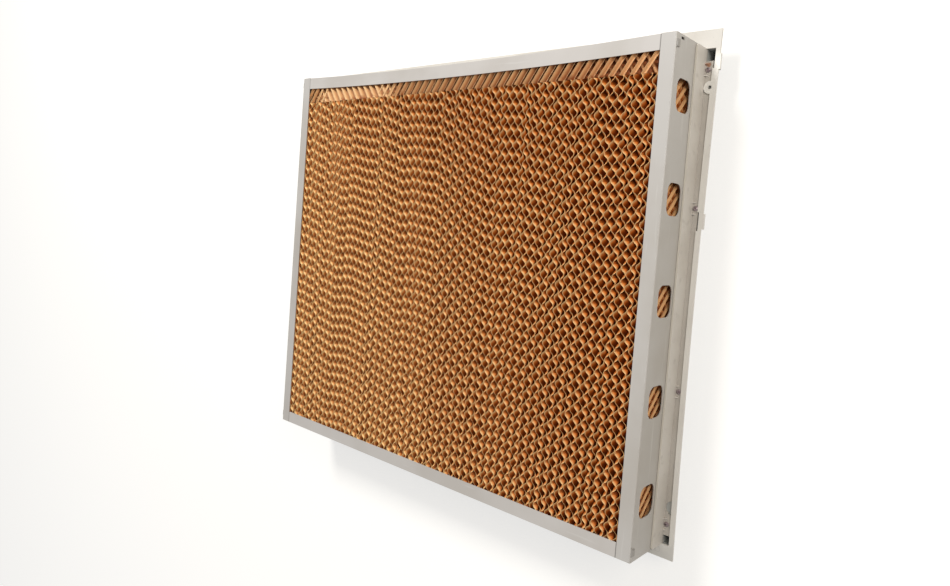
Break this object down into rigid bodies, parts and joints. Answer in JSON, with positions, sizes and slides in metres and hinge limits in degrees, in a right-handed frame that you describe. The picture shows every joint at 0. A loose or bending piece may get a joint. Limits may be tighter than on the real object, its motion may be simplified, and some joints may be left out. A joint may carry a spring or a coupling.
{
  "type": "evaporative cooling pad panel",
  "caption": "Fluted kraft paper cooling pad in a folded sheet frame with holed stiles, seated in a moulded louvre panel.",
  "frame": {"origin": "under the middle of the flange's outline, on the level surface that the louvre side rests on", "axes": "+X across the panel to the viewer's right, +Y up the panel, +Z out of the pad's face"},
  "size_m": [0.8814, 0.763, 0.125],
  "materials": {
    "moulded_plastic": "warm white moulded plastic with a fine satin grain",
    "frame_coat": "warm grey satin coating on folded sheet",
    "bracket_coat": "grey satin coating, a little darker than the frame",
    "screw_steel": "dull plated steel",
    "kraft_paper": "resin stiffened brown kraft paper, paler along its cut edges"
  },
  "bodies": {
    "root": {"louvre_panel": "moulded_plastic", "left_stile": "frame_coat", "right_stile": "frame_coat", "top_rail": "frame_coat", "bottom_rail": "frame_coat", "left_bracket": "bracket_coat", "right_bracket": "bracket_coat", "left_screws": "screw_steel", "right_screws": "screw_steel", "pad_sheets_1": "kraft_paper", "pad_sheets_2": "kraft_paper", "pad_sheets_3": "kraft_paper", "pad_sheets_4": "kraft_paper", "pad_sheets_5": "kraft_paper", "distribution_pad": "kraft_paper", "distribution_core": "kraft_paper"}
  },
  "joints": []
}
